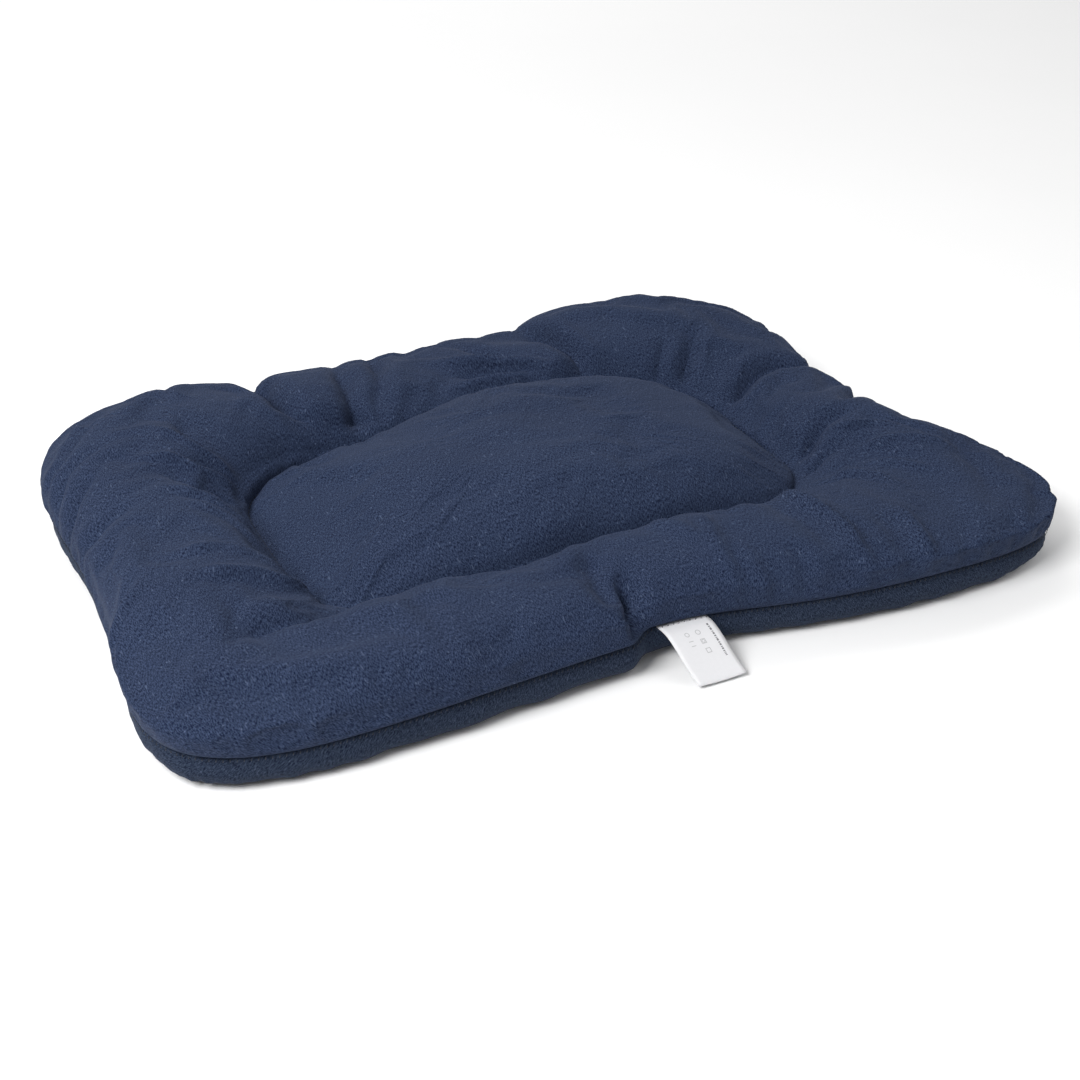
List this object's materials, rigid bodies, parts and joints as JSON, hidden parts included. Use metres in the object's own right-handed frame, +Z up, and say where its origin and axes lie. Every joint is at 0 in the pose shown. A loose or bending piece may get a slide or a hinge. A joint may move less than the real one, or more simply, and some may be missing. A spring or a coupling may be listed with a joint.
{
  "type": "pet cushion bed",
  "caption": "Rectangular stuffed pet bed cushion: a plump ring stitched round a plump centre, with a care label sewn into the front seam.",
  "frame": {"origin": "on the floor, under the middle of the cushion's flat underside", "axes": "+X along the cushion's length, to the right as seen from the labelled front; -Y to the labelled front; +Z up"},
  "size_m": [0.6986, 0.5128, 0.08],
  "materials": {
    "top_fabric": "matt navy polycotton canvas with fine pale flecks",
    "bottom_fabric": "matt navy plain-woven lining cloth, slightly greener than the top",
    "fibre_filling": "matt white loose polyester fibre",
    "sewing_thread": "dark navy spun polyester thread",
    "label_ribbon": "smooth white satin ribbon"
  },
  "bodies": {
    "cushion": {"top_panel": "top_fabric", "bottom_panel": "bottom_fabric", "ring_filling": "fibre_filling", "centre_filling": "fibre_filling", "perimeter_needle_thread": "sewing_thread", "perimeter_bobbin_thread": "sewing_thread", "channel_needle_thread": "sewing_thread", "channel_bobbin_thread": "sewing_thread", "closing_thread": "sewing_thread"},
    "label": {"care_label": "label_ribbon"}
  },
  "joints": [
    {"name": "label_flap", "type": "hinge", "parent": "cushion", "child": "label", "pos_m": [0.014, -0.23135, 0.027], "axis": [-1, 0, 0], "range_deg": [0, 90]}
  ]
}
